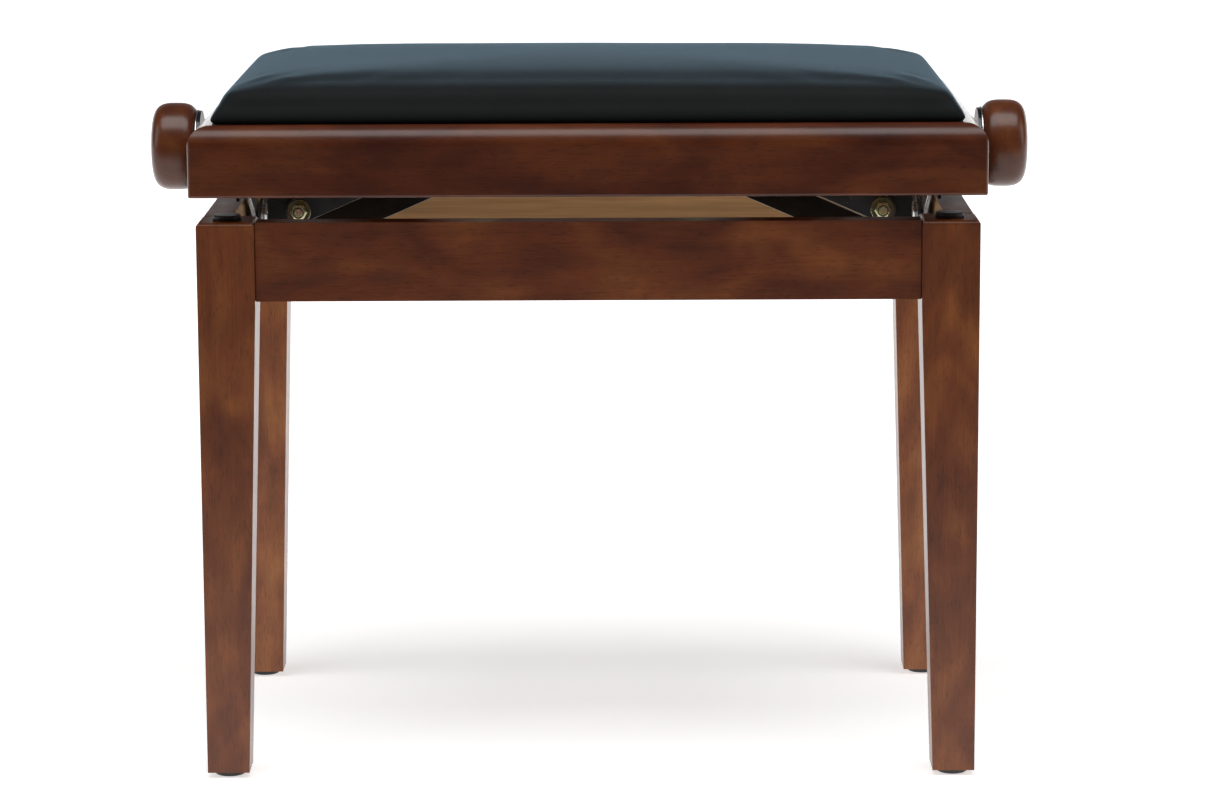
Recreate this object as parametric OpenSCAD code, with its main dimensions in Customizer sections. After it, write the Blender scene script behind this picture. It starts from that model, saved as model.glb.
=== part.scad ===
// Height-adjustable piano bench. Millimetres, +Z up, +X to the sitter's side, front at -Y.
// The origin is on the floor, under the middle of the bench.
// A spindle with left- and right-hand threads pulls two nut bars apart or together, and the four
// struts between the nut bars and the base lift the seat. A scissor at each end keeps it level.

/* [Base frame] */
// Width over the outer faces of the legs
base_w = 541; // [537:1:543]
// Depth over the outer faces of the legs
base_d = 324; // [320:1:330]
// Height of the top of the legs
leg_top_z = 395; // [370:1:420]
// Side of the square leg at its top
leg_top = 40; // [38:1:42]
// Side of the square leg at the floor
leg_foot = 29.5; // [26:0.5:36]
// Height of the base rails
rail_h = 55; // [55:1:70]
// Thickness of the base rails
rail_t = 20; // [18:0.5:20]
// Distance of the rails behind the outer faces of the legs
rail_setback = 2; // [1:0.5:2]

/* [Seat] */
// Width of the seat frame
seat_w = 550; // [549:1:552]
// Depth of the seat frame
seat_d = 336; // [334:1:344]
// Height of the seat frame
seat_rail_h = 49; // [46:1:55]
// Thickness of the seat frame rails below the board
seat_rail_t = 24; // [22:1:24]
// Radius of the round along the top outer edge of the seat frame
seat_round = 14; // [4:1:14]
// Height of the cushion above the top of the seat frame
cushion_h = 36; // [25:1:50]
// How far the cushion's top is drawn in from its foot
cushion_slope = 46; // [30:1:54]

/* [Height adjustment] */
// Lift of the seat above its lowest position, as drawn
lift = 14; // [0:1:40]
// Whole travel of the seat
travel = 96; // [60:1:100]
// Length of the scissor arms and struts between pivots
arm_l = 155; // [155:1:160]
// Lead of the spindle's threads
lead = 5; // [3:0.5:6]

/* [Knobs] */
// Largest diameter of the knobs
knob_d = 63; // [50:1:70]
// Width of the knobs along the spindle
knob_w = 33.5; // [30:0.5:36]

/* [Hidden] */

$fn = 48;
WALNUT = [0.36, 0.17, 0.09];
PALE_WOOD = [0.72, 0.55, 0.34];
BLACK_STEEL = [0.07, 0.07, 0.07];
ZINC = [0.74, 0.72, 0.62];
STEEL = [0.70, 0.71, 0.73];
RUBBER = [0.05, 0.05, 0.05];
VELOUR = [0.06, 0.07, 0.09];
FOAM = [0.85, 0.82, 0.70];

eps = 0.01;         // overlap of faces that would otherwise only touch
cut = 1;            // cutters and joined pieces run this far past a face
fit = 0.05;         // radial clearance of a pin or shaft that turns in a bore
loose = 0.3;        // clearance of the sliding pins, the threads and the faces that pass each other
glue_gap = 0.1;     // clearance of a glued or pressed wooden joint

// Base frame
glide_h = 4;
glide_r = 11;
glide_edge = 1;
leg_round = 3;
taper_drop = 5;     // the legs start to taper this far below the rails
tenon_l = 14;
tenon_t = 10;
tenon_shoulder = 8;
tenon_h = rail_h - 2 * tenon_shoulder;
rail_z = leg_top_z - rail_h;
side_in = base_w / 2 - rail_setback - rail_t;
nail_r = 1.5;
nail_l = 18;
nail_z = 0.5;       // the nail heads are sunk this far into the glides
nail_head_r = 4;
nail_head_h = 1.5;
bumper_r = 10;
bumper_h = 3.7;
bumper_edge = 1;
bumper_stem_r = 3;
bumper_stem_l = 9;
low_gap = 4;        // the seat frame's underside stops this far above the legs
block_leg = 18;
block_drop = 6;     // the glue blocks end this far below the rails' top
block_rise = 4;

// Seat frame
seat_z = leg_top_z + low_gap + lift;
seat_top_z = seat_z + seat_rail_h;
board_t = 12;
board_drop = 2;     // the board lies this far below the top of the seat rails
board_top_z = seat_top_z - board_drop;
board_z = board_top_z - board_t;
lip_t = 16;         // thickness of the seat rails beside the board
board_gap = 0.5;
seat_corner_r = 3;
seat_under_r = 2;
seat_in_x = seat_w / 2 - seat_rail_t;
seat_in_y = seat_d / 2 - seat_rail_t;
board_x = seat_w / 2 - lip_t - board_gap;
board_y = seat_d / 2 - lip_t - board_gap;
cushion_x = board_x;
cushion_y = board_y;
corner_foot_r = 4;
corner_top_r = 60;  // the cushion's plan corners round off as it rises
cushion_crown = 3;
cushion_power = 2.4;
cushion_layers = [0.1, 0.22, 0.36, 0.54, 0.76, 1];
cushion_plateau = 2.4 * cushion_slope;  // the crown's flat top starts this far in
corner_crown_r = 18;
cover_t = 2.5;
foam_gap = 0.5;
seat_block_leg = 40;
seat_block_h = 22;

// Lifting gear
spindle_z = seat_z + 17;
strut_pivot_z = leg_top_z - 27;
strut_pivot_x = 220;
strut_y = 105;      // middle of the strut's thickness
strut_w = 20;
bar_t = 3;
rise = spindle_z - strut_pivot_z;
rest_angle = asin(rise / arm_l);
nut_x = strut_pivot_x - arm_l * cos(rest_angle);
nut_x_low = strut_pivot_x - arm_l * cos(asin((rise - lift) / arm_l));
nut_x_high = strut_pivot_x - arm_l * cos(asin((rise - lift + travel) / arm_l));
scissor_drop = 18;  // the scissor pivots lie this far below the strut pivots and the spindle
scissor_low_z = strut_pivot_z - scissor_drop;
scissor_high_z = spindle_z - scissor_drop;
scissor_y = 72;     // fixed pivots of the scissors
scissor_w = 16;
slide_y = scissor_y - arm_l * cos(rest_angle);
slide_y_low = scissor_y - (strut_pivot_x - nut_x_low);
slide_y_high = scissor_y - (strut_pivot_x - nut_x_high);
plate_t = 2.5;
plate_rise = 1;     // the base plates start this far above the rails' lower edges
arm_gap = 1.6;      // between a side plate and the outer scissor arm
arm_space = 1;      // between the two arms of a scissor
outer_x = side_in - plate_t - arm_gap - bar_t;  // inner face of the outer scissor arm
inner_x = outer_x - bar_t - arm_space;
pin_r = 4;
slide_pin_r = 3.7;
slot_end = 1;       // the slots run this far past the sliding pins
pin_head_r = 6.5;
pin_head_t = 2;
seat_plate_x = side_in - 0.5;   // outer face of the seat bracket
bracket_l = 200;
seat_bracket_z = scissor_high_z - 10;    // lower edges of the seat brackets
bracket_flange = 32;

// Fasteners
screw_r = 2;
screw_head_r = 4;
screw_head_h = 2.2;
screw_l = 14;
bolt_r = 3;
bolt_head_r = 5.8;
bolt_head_h = 4;
nut_r = 6.6;
nut_hex_h = 3.8;
nut_h = 6;
nut_ring_r = 5.2;
washer_r = 7;
washer_t = 1.2;
wide_washer_r = 9;  // the washers under the nuts
bolt_tip = 1.2;     // the bolts stand this far out of their nuts
bolt_shoulder = 1;  // their shanks run this far into their heads

// Spindle
spindle_r = 7;
thread_depth = 0.9;
thread_margin = 8;
journal_r = 5;
thrust_t = 2;
journal_x = seat_in_x - thrust_t;
bush_r = 9;
bush_flange_r = 12;
bush_flange_t = 1.5;
barrel_r = 12;
barrel_l = 26;
nut_rod_r = 7;
nut_bar_end = 2.5;  // the nut bars end this far beyond their clips
clip_r = 7.5;
clip_t = 1.2;
tie_s = 87;         // distance of the tie rod from the struts' base pivots
rivet_s = 21.5;     // distance of the strut's rivet from the base pivot
tie_r = 4;
tie_tenon_r = 3;
tie_head_r = 5;
tie_head_t = 1.5;
ferrule_r = 26.5;
ferrule_t = 1;
collar_r = 25.8;
collar_t = 2.4;
hub_r = 13;
set_screw_r = 1.5;
set_screw_drop = 1; // the set screws are sunk this far into the hubs
knob_out_x = 316.5;
knob_mid_x = knob_out_x - knob_w / 2;
knob_cut = 1.25;    // the knob's inner end is cut off flat by this much
knob_in_x = knob_out_x - knob_w + knob_cut;
knob_flat_r = 12;
knob_power = 3.2;

// ---- Helpers ----

module mirror_x() { mirror([1, 0, 0]) children(); }

module both_x() {
    for (side = [0, 1]) mirror([side, 0, 0]) children();
}

module both_y() {
    for (side = [0, 1]) mirror([0, side, 0]) children();
}

// Places children, drawn for the front left corner, at a corner of the base
module at_corner(right, rear) {
    mirror([right, 0, 0]) mirror([0, rear, 0]) translate([-base_w / 2, -base_d / 2, 0]) children();
}

module every_corner() {
    for (right = [0, 1], rear = [0, 1]) at_corner(right, rear) children();
}

// A cylinder along +X from x0 to x1
module rod_x(r, x0, x1, y = 0, z = 0) {
    translate([x0, y, z]) rotate([0, 90, 0]) cylinder(r = r, h = x1 - x0);
}

// A cylinder along +Y from y0 to y1
module rod_y(r, y0, y1, x = 0, z = 0) {
    translate([x, y0, z]) rotate([-90, 0, 0]) cylinder(r = r, h = y1 - y0);
}

// Outline of a flat bar with round ends and a hole at each end
module bar_outline(width, holes) {
    difference() {
        union() {
            translate([0, -width / 2]) square([arm_l, width]);
            circle(r = width / 2);
            translate([arm_l, 0]) circle(r = width / 2);
        }
        for (hole = holes) translate([hole[0], 0]) circle(r = hole[1]);
    }
}

// A slot along Y that cuts along X
module slot_x(r, y0, y1, z, x0, x1) {
    rod_x(r, x0, x1, y0, z);
    rod_x(r, x0, x1, y1, z);
    translate([x0, y0, z - r]) cube([x1 - x0, y1 - y0, 2 * r]);
}

// ---- Base ----

module leg_profile() {
    difference() {
        polygon([
            [0, glide_h], [leg_foot, glide_h], [leg_top, rail_z - taper_drop],
            [leg_top, leg_top_z], [0, leg_top_z]
        ]);
        for (side = [0, 1]) translate([side * leg_top, leg_top_z]) mirror([side, 0]) difference() {
            translate([-eps, -leg_round]) square([leg_round + eps, leg_round + eps]);
            translate([leg_round, -leg_round]) circle(r = leg_round);
        }
    }
}

// The tenon of a rail, drawn for the front rail's left end; the mortise is the same shape, grown
module tenon(grow = 0) {
    translate([
        leg_top - tenon_l - grow,
        rail_setback + (rail_t - tenon_t) / 2 - grow,
        rail_z + (rail_h - tenon_h) / 2 - grow
    ])
        cube([tenon_l + grow + eps, tenon_t + 2 * grow, tenon_h + 2 * grow]);
}

module leg_blank() {
    intersection() {
        translate([0, leg_top, 0]) rotate([90, 0, 0]) linear_extrude(leg_top) leg_profile();
        rotate([90, 0, 90]) linear_extrude(leg_top) leg_profile();
    }
}

module leg() {
    color(WALNUT) difference() {
        leg_blank();
        tenon(glue_gap);
        mirror([1, -1, 0]) tenon(glue_gap);
        translate([leg_foot / 2, leg_foot / 2, 0]) cylinder(r = nail_r + fit, h = nail_l);
        translate([leg_top / 2, leg_top / 2, leg_top_z - bumper_stem_l - glue_gap])
            cylinder(r = bumper_stem_r + fit, h = bumper_stem_l + cut);
    }
}

module leg_front_left() { at_corner(0, 0) leg(); }
module leg_front_right() { at_corner(1, 0) leg(); }
module leg_rear_left() { at_corner(0, 1) leg(); }
module leg_rear_right() { at_corner(1, 1) leg(); }

module front_rail_shape() {
    color(WALNUT) {
        translate([-base_w / 2 + leg_top, -base_d / 2 + rail_setback, rail_z])
            cube([base_w - 2 * leg_top, rail_t, rail_h]);
        both_x() translate([-base_w / 2, -base_d / 2, 0]) tenon();
    }
}

module side_rail_shape() {
    color(WALNUT) difference() {
        union() {
            translate([-base_w / 2 + rail_setback, -base_d / 2 + leg_top, rail_z])
                cube([rail_t, base_d - 2 * leg_top, rail_h]);
            both_y() translate([-base_w / 2, -base_d / 2, 0]) mirror([1, -1, 0]) tenon();
        }
        for (spot = plate_screw_spots)
            rod_x(screw_r + fit, -side_in - screw_l, -side_in + cut, spot[0], spot[1]);
        both_y() for (z = bracket_screw_z)
            rod_x(screw_r + fit, -side_in - screw_l, -side_in + cut, bracket_screw_y, z);
    }
}

module base_rail_front() { front_rail_shape(); }
module base_rail_rear() { mirror([0, 1, 0]) front_rail_shape(); }
module base_rail_left() { side_rail_shape(); }
module base_rail_right() { mirror_x() side_rail_shape(); }

module glue_blocks() {
    color(PALE_WOOD) every_corner()
        translate([leg_top, rail_setback + rail_t, rail_z + block_rise])
            linear_extrude(rail_h - block_rise - block_drop)
            polygon([[0, 0], [block_leg, 0], [0, block_leg]]);
}

module foot_glides() {
    color(RUBBER) every_corner() translate([leg_foot / 2, leg_foot / 2, 0]) difference() {
        rotate_extrude() polygon([
            [0, 0], [glide_r - glide_edge, 0], [glide_r, glide_edge], [glide_r, glide_h], [0, glide_h]
        ]);
        translate([0, 0, -cut]) cylinder(r = nail_r + fit, h = glide_h + 2 * cut);
        translate([0, 0, -cut]) cylinder(r = nail_head_r + fit, h = cut + nail_z + nail_head_h);
    }
}

module glide_nails() {
    color(STEEL) every_corner() translate([leg_foot / 2, leg_foot / 2, nail_z]) {
        cylinder(r = nail_head_r, h = nail_head_h);
        cylinder(r = nail_r, h = nail_l - 2 * nail_z);
    }
}

module rest_bumpers() {
    color(RUBBER) every_corner() translate([leg_top / 2, leg_top / 2, leg_top_z]) {
        rotate_extrude() polygon([
            [0, 0], [bumper_r, 0], [bumper_r, bumper_h - bumper_edge],
            [bumper_r - bumper_edge, bumper_h], [0, bumper_h]
        ]);
        translate([0, 0, -bumper_stem_l]) cylinder(r = bumper_stem_r, h = bumper_stem_l + cut);
    }
}

// ---- Plates and brackets on the base ----

plate_screw_spots = [for (y = [-66:46:72]) [y, strut_pivot_z + 4]];
bracket_screw_z = [strut_pivot_z - 16, strut_pivot_z + 1];
bracket_screw_y = 96;
plate_l = 172;
plate_top_z = strut_pivot_z + 10;
plate_h = plate_top_z - rail_z - plate_rise;
ear_y = strut_y + bar_t / 2 + loose + washer_t;
nut_y = strut_y - bar_t / 2 - loose - washer_t;     // where the lock nuts start
ear_r = 12;
bracket_foot = 21;

module scissor_plate() {
    color(BLACK_STEEL) difference() {
        translate([-side_in, -plate_l / 2, rail_z + plate_rise]) cube([plate_t, plate_l, plate_h]);
        slot_x(slide_pin_r + loose, slide_y_low - slot_end, slide_y_high + slot_end, scissor_low_z,
            -side_in - cut, -side_in + plate_t + cut);
        rod_x(pin_r + fit, -side_in - cut, -side_in + plate_t + cut, scissor_y, scissor_low_z);
        for (spot = plate_screw_spots) translate([-side_in, spot[0], spot[1]]) rotate([0, 90, 0]) {
            translate([0, 0, -cut]) cylinder(r = screw_r + fit, h = plate_t + 2 * cut);
            translate([0, 0, plate_t - screw_head_h])
                cylinder(r1 = screw_r, r2 = screw_head_r, h = screw_head_h + eps);
        }
    }
}

module scissor_plate_left() { scissor_plate(); }
module scissor_plate_right() { mirror_x() scissor_plate(); }

module scissor_plate_screws() {
    color(ZINC) both_x() for (spot = plate_screw_spots)
        translate([-side_in, spot[0], spot[1]]) rotate([0, 90, 0]) {
            translate([0, 0, 1 - screw_l]) cylinder(r = screw_r, h = screw_l);
            translate([0, 0, plate_t - screw_head_h]) cylinder(
                r1 = screw_r - glue_gap, r2 = screw_head_r - glue_gap, h = screw_head_h - glue_gap
            );
        }
}

module strut_bracket() {
    difference() {
        union() {
            translate([-side_in, ear_y + plate_t - bracket_foot, rail_z + plate_rise])
                cube([plate_t, bracket_foot, plate_h]);
            translate([-side_in, ear_y, strut_pivot_z - ear_r])
                cube([side_in - strut_pivot_x, plate_t, 2 * ear_r]);
            rod_y(ear_r, ear_y, ear_y + plate_t, -strut_pivot_x, strut_pivot_z);
        }
        rod_y(bolt_r + fit, ear_y - cut, ear_y + plate_t + cut, -strut_pivot_x, strut_pivot_z);
        for (z = bracket_screw_z)
            rod_x(screw_r + fit, -side_in - cut, -side_in + plate_t + cut, bracket_screw_y, z);
    }
}

module strut_brackets() {
    color(BLACK_STEEL) both_x() both_y() strut_bracket();
}

module strut_bracket_screws() {
    color(ZINC) both_x() both_y() for (z = bracket_screw_z) {
        rod_x(screw_r, -side_in + 1 - screw_l, -side_in + plate_t + eps, bracket_screw_y, z);
        rod_x(screw_head_r, -side_in + plate_t, -side_in + plate_t + screw_head_h, bracket_screw_y, z);
    }
}

module strut_pivot_bolts() {
    color(ZINC) both_x() both_y() translate([-strut_pivot_x, 0, strut_pivot_z]) {
        rod_y(bolt_r, nut_y - nut_h - bolt_tip, ear_y + plate_t + bolt_shoulder);
        translate([0, ear_y + plate_t, 0]) rotate([-90, 0, 0])
            cylinder(r = bolt_head_r, h = bolt_head_h, $fn = 6);
    }
}

// Lock nuts: a hexagon with a round collar at the bolt's end
module strut_pivot_nuts() {
    color(ZINC) both_x() both_y()
        translate([-strut_pivot_x, nut_y, strut_pivot_z])
            rotate([90, 0, 0]) difference() {
                union() {
                    cylinder(r = nut_r, h = nut_hex_h, $fn = 6);
                    cylinder(r = nut_ring_r, h = nut_h);
                }
                translate([0, 0, -cut]) cylinder(r = bolt_r + fit, h = nut_h + 2 * cut);
            }
}

// One washer between the strut and its bracket, and a wider one under the nut
module strut_pivot_washer(radius, y) {
    difference() {
        rod_y(radius, y, y + washer_t, -strut_pivot_x, strut_pivot_z);
        rod_y(bolt_r + fit, y - cut, y + washer_t + cut, -strut_pivot_x, strut_pivot_z);
    }
}

module strut_pivot_washers() {
    color(ZINC) both_x() both_y() {
        strut_pivot_washer(washer_r, ear_y - washer_t);
        strut_pivot_washer(wide_washer_r, nut_y);
    }
}

// A shouldered rivet along +X: shank, a shoulder from x1 to x2 and a head at the inner end
module rivet_x(r, x0, shoulder0, shoulder1, head, y, z) {
    rod_x(r, x0, head + eps, y, z);
    rod_x(pin_head_r, shoulder0, shoulder1, y, z);
    rod_x(pin_head_r, head, head + pin_head_t, y, z);
}

module scissor_base_pins() {
    color(STEEL) both_x()
        rivet_x(pin_r, -side_in + glue_gap, -side_in + plate_t, -outer_x - bar_t - loose,
            -outer_x + loose, scissor_y, scissor_low_z);
}

// ---- Scissors ----

module scissor_bar(x, y, angle, holes) {
    translate([x, y, scissor_low_z]) rotate([90, 0, 90]) linear_extrude(bar_t)
        rotate(angle) bar_outline(scissor_w, holes);
}

module scissor_outer() {
    color(STEEL) scissor_bar(-outer_x - bar_t, scissor_y, 180 - rest_angle,
        [[0, pin_r + fit], [arm_l / 2, pin_r + fit], [arm_l, slide_pin_r + fit]]);
}

module scissor_inner(seat_clearance) {
    color(STEEL) scissor_bar(-inner_x - bar_t, slide_y, rest_angle,
        [[0, slide_pin_r + fit], [arm_l / 2, pin_r + fit], [arm_l, pin_r + seat_clearance]]);
}

// The centre pin of the scissor and the sliding pin at the outer arm's upper end
module scissor_outer_pins() {
    mid_y = (scissor_y + slide_y) / 2;
    mid_z = (scissor_low_z + scissor_high_z) / 2;
    color(STEEL) {
        rivet_x(pin_r, -outer_x - bar_t + glue_gap, -outer_x, -inner_x - bar_t - loose,
            -inner_x + loose, mid_y, mid_z);
        rivet_x(slide_pin_r, -seat_plate_x + glue_gap, -seat_plate_x + plate_t + loose, -outer_x - bar_t,
            -outer_x, slide_y, scissor_high_z);
    }
}

// The sliding pin at the inner arm's lower end
module scissor_inner_pin() {
    color(STEEL) rivet_x(slide_pin_r, -side_in + loose, -side_in + plate_t + loose, -inner_x - bar_t,
        -inner_x, slide_y, scissor_low_z);
}

module scissor_outer_left() { scissor_outer(); }
module scissor_outer_right() { mirror_x() scissor_outer(); }
module scissor_outer_pins_left() { scissor_outer_pins(); }
module scissor_outer_pins_right() { mirror_x() scissor_outer_pins(); }
module scissor_inner_left() { scissor_inner(fit); }
module scissor_inner_right() { mirror_x() scissor_inner(loose); }
module scissor_inner_pin_left() { scissor_inner_pin(); }
module scissor_inner_pin_right() { mirror_x() scissor_inner_pin(); }

// ---- Struts and nut bars ----

module strut(rear) {
    color(BLACK_STEEL) mirror([0, rear, 0])
        translate([-strut_pivot_x, -strut_y + bar_t / 2, strut_pivot_z]) rotate([90, 0, 0])
            linear_extrude(bar_t) rotate(rest_angle)
                bar_outline(strut_w, [
                    [0, bolt_r + fit], [rivet_s, tie_tenon_r + fit], [tie_s, tie_tenon_r + fit],
                    [arm_l, journal_r + fit]
                ]);
}

// Places children at a distance along the left struts from their base pivot
module along_strut(distance) {
    translate([
        -strut_pivot_x + distance * cos(rest_angle), 0, strut_pivot_z + distance * sin(rest_angle)
    ])
        children();
}

// The rod that ties the front strut to the rear one, and a rivet in each strut
module strut_tie() {
    in_y = strut_y - bar_t / 2;
    out_y = strut_y + bar_t / 2;
    color(BLACK_STEEL) {
        along_strut(tie_s) {
            rod_y(tie_r, -in_y, in_y);
            rod_y(tie_tenon_r, -out_y - cut, out_y + cut);
            both_y() rod_y(tie_head_r, out_y, out_y + tie_head_t);
        }
        along_strut(rivet_s) both_y() {
            rod_y(tie_tenon_r, in_y - cut, out_y + cut);
            rod_y(tie_head_r, in_y - tie_head_t, in_y);
            rod_y(tie_head_r, out_y, out_y + tie_head_t);
        }
    }
}

module strut_front_left() { strut(0); }
module strut_rear_left() { strut(1); }
module strut_tie_left() { strut_tie(); }
module strut_front_right() { mirror_x() strut(0); }
module strut_rear_right() { mirror_x() strut(1); }
module strut_tie_right() { mirror_x() strut_tie(); }

module nut_bar() {
    shoulder_y = strut_y - bar_t / 2 - loose;
    end_y = strut_y + bar_t / 2 + loose + clip_t + nut_bar_end;
    color(ZINC) difference() {
        union() {
            rod_x(barrel_r, -nut_x - barrel_l / 2, -nut_x + barrel_l / 2, 0, spindle_z);
            rod_y(nut_rod_r, -shoulder_y, shoulder_y, -nut_x, spindle_z);
            rod_y(journal_r, -end_y, end_y, -nut_x, spindle_z);
        }
        rod_x(spindle_r + loose, -nut_x - barrel_l, -nut_x + barrel_l, 0, spindle_z);
    }
}

module nut_bar_clips() {
    clip_y = strut_y + bar_t / 2 + loose;
    color(STEEL) both_y() difference() {
        rod_y(clip_r, clip_y, clip_y + clip_t, -nut_x, spindle_z);
        rod_y(journal_r + fit, clip_y - cut, clip_y + clip_t + cut, -nut_x, spindle_z);
    }
}

module nut_bar_left() { nut_bar(); }
module nut_bar_right() { mirror_x() nut_bar(); }
module nut_bar_clips_left() { nut_bar_clips(); }
module nut_bar_clips_right() { mirror_x() nut_bar_clips(); }

// ---- Spindle and knobs ----

thread_x0 = nut_x_low - barrel_l / 2 - thread_margin;
thread_turns = floor((nut_x_high + barrel_l / 2 + thread_margin - thread_x0) / lead);

// Half of the spindle's outline, as [radius, distance from the middle]
function spindle_side() = concat(
    [for (turn = [0:thread_turns - 1]) let (x = thread_x0 + turn * lead) each [
        [spindle_r, x], [spindle_r - thread_depth, x + 0.25 * lead],
        [spindle_r - thread_depth, x + 0.5 * lead], [spindle_r, x + 0.75 * lead]
    ]],
    [[spindle_r, journal_x], [journal_r, journal_x], [journal_r, knob_mid_x]]
);

module spindle() {
    side = spindle_side();
    last = len(side) - 1;
    color(STEEL) translate([0, 0, spindle_z]) rotate([0, 90, 0]) rotate_extrude() polygon(concat(
        [[0, knob_mid_x], [0, -knob_mid_x]],
        [for (i = [last:-1:0]) [side[i][0], -side[i][1]]],
        side
    ));
}

// Outline of the knob: a rounded barrel, as [radius, distance from its middle]
KNOB_STEPS = 36;
function knob_point(a) = [
    knob_flat_r + (knob_d / 2 - knob_flat_r) * pow(cos(a), 2 / knob_power),
    -sign(a) * knob_w / 2 * pow(abs(sin(a)), 2 / knob_power)
];

module knob() {
    color(WALNUT) translate([-knob_mid_x, 0, spindle_z]) rotate([0, 90, 0]) difference() {
        rotate_extrude() polygon(concat(
            [[0, knob_w / 2]],
            [for (i = [0:KNOB_STEPS]) knob_point(-90 + 180 * i / KNOB_STEPS)],
            [[0, -knob_w / 2]]
        ));
        translate([0, 0, knob_w / 2 - knob_cut]) cylinder(r = knob_d, h = knob_w);
        cylinder(r = journal_r + fit, h = knob_w);
    }
}

module knob_left() { knob(); }
module knob_right() { mirror_x() knob(); }

module knob_ferrules() {
    color(STEEL) both_x() difference() {
        rod_x(ferrule_r, -knob_in_x, -knob_in_x + ferrule_t, 0, spindle_z);
        rod_x(journal_r + fit, -knob_in_x - cut, -knob_in_x + ferrule_t + cut, 0, spindle_z);
    }
}

// Where the collars begin and end, on the left side
collar_x0 = -knob_in_x + ferrule_t;
collar_x1 = -seat_w / 2 - bush_flange_t - loose;
set_screw_x = (collar_x0 + collar_t + collar_x1) / 2;

module knob_collars() {
    color(BLACK_STEEL) both_x() difference() {
        union() {
            rod_x(collar_r, collar_x0, collar_x0 + collar_t, 0, spindle_z);
            rod_x(hub_r, collar_x0, collar_x1, 0, spindle_z);
        }
        rod_x(journal_r + fit, collar_x0 - cut, collar_x1 + cut, 0, spindle_z);
        translate([set_screw_x, 0, spindle_z - hub_r - cut])
            cylinder(r = set_screw_r + fit, h = hub_r + cut);
    }
}

module knob_set_screws() {
    color(STEEL) both_x() translate([set_screw_x, 0, spindle_z - hub_r + set_screw_drop])
        cylinder(r = set_screw_r, h = hub_r - journal_r - set_screw_drop - glue_gap);
}

// ---- Seat ----

// What a round of radius r takes off a corner that points to +X and +Y, with its tip at the origin
module corner_cut(r) {
    difference() {
        translate([-r, -r]) square(r + eps);
        translate([-r, -r]) circle(r = r);
    }
}

// Section of a seat rail: x outward from the inner face, y up from the underside
module seat_rail_section() {
    difference() {
        square([seat_rail_t, seat_rail_h]);
        translate([-eps, board_z - seat_z]) square([seat_rail_t - lip_t + eps, seat_rail_h]);
        translate([seat_rail_t, seat_rail_h]) corner_cut(seat_round);
        translate([seat_rail_t, 0]) mirror([0, 1]) corner_cut(seat_under_r);
    }
}

// A rail along Y on the -X side, mitred at both ends, with the frame's upright corners rounded
module mitred_rail(width, depth) {
    inner = 2 * seat_rail_t;
    difference() {
        intersection() {
            translate([-width / 2 + seat_rail_t, depth / 2, seat_z]) rotate([90, 0, 0])
                linear_extrude(depth) mirror([1, 0]) seat_rail_section();
            translate([0, 0, seat_z - cut]) linear_extrude(seat_rail_h + 2 * cut) polygon([
                [-width / 2, -depth / 2], [-width / 2, depth / 2],
                [-width / 2 + inner, depth / 2 - inner], [-width / 2 + inner, -depth / 2 + inner]
            ]);
        }
        both_y() translate([-width / 2, depth / 2, seat_z - cut]) mirror([1, 0])
            linear_extrude(seat_rail_h + 2 * cut) corner_cut(seat_corner_r);
    }
}

module seat_side_rail() {
    color(WALNUT) difference() {
        mitred_rail(seat_w, seat_d);
        rod_x(bush_r + fit, -seat_w / 2 - cut, -seat_in_x + cut, 0, spindle_z);
    }
}

module seat_rail_front() { color(WALNUT) rotate([0, 0, 90]) mitred_rail(seat_d, seat_w); }
module seat_rail_rear() { color(WALNUT) rotate([0, 0, -90]) mitred_rail(seat_d, seat_w); }
module seat_rail_left() { seat_side_rail(); }
module seat_rail_right() { mirror_x() seat_side_rail(); }

board_screw_inset = 11;
board_screw_x = seat_in_x - board_screw_inset;
board_screw_y = seat_in_y - board_screw_inset;
screw_tip = 3;      // the board's screws stop this far below its top

module seat_corner_blocks() {
    color(PALE_WOOD) both_x() both_y() difference() {
        translate([-seat_in_x, seat_in_y, board_z - seat_block_h]) linear_extrude(seat_block_h)
            polygon([[0, 0], [seat_block_leg, 0], [0, -seat_block_leg]]);
        translate([-board_screw_x, board_screw_y, board_z - seat_block_h - cut])
            cylinder(r = screw_r + fit, h = seat_block_h + 2 * cut);
    }
}

module seat_board_screws() {
    color(ZINC) both_x() both_y() translate([-board_screw_x, board_screw_y, board_z - seat_block_h]) {
        cylinder(r = screw_r, h = seat_block_h + board_t - screw_tip);
        translate([0, 0, -screw_head_h]) cylinder(r = screw_head_r, h = screw_head_h);
    }
}

bracket_screw_spots = [-85, -40, 40, 85];
flange_screw_x = seat_plate_x - 20;

module seat_board() {
    color(PALE_WOOD) difference() {
        translate([-board_x, -board_y, board_z]) cube([2 * board_x, 2 * board_y, board_t]);
        both_x() {
            both_y() translate([-board_screw_x, board_screw_y, board_z - cut])
                cylinder(r = screw_r + fit, h = board_t - cut);
            for (y = bracket_screw_spots) translate([-flange_screw_x, y, board_z - cut])
                cylinder(r = screw_r + fit, h = board_t - cut);
        }
    }
}

module round_slab(inset, z, thick, r) {
    x = cushion_x - inset - r;
    y = cushion_y - inset - r;
    translate([0, 0, z]) linear_extrude(thick)
        for (sx = [-1, 1], sy = [-1, 1]) translate([sx * x, sy * y]) circle(r = r, $fn = 32);
}

// The cushion's outer form, drawn in by a skin thickness: its side rises as a power curve to a crowned top
module cushion_form(skin) {
    base_z = board_top_z + loose;
    side_h = seat_top_z + cushion_h - cushion_crown - skin - base_z;
    hull() {
        round_slab(skin, base_z, 1, corner_foot_r);
        for (share = cushion_layers)
            round_slab(skin + share * cushion_slope,
                base_z + side_h * (1 - pow(1 - share, cushion_power)), eps,
                corner_foot_r + share * (corner_top_r - corner_foot_r));
        round_slab(cushion_plateau, base_z + side_h + cushion_crown - eps, eps, corner_crown_r);
    }
}

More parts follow.
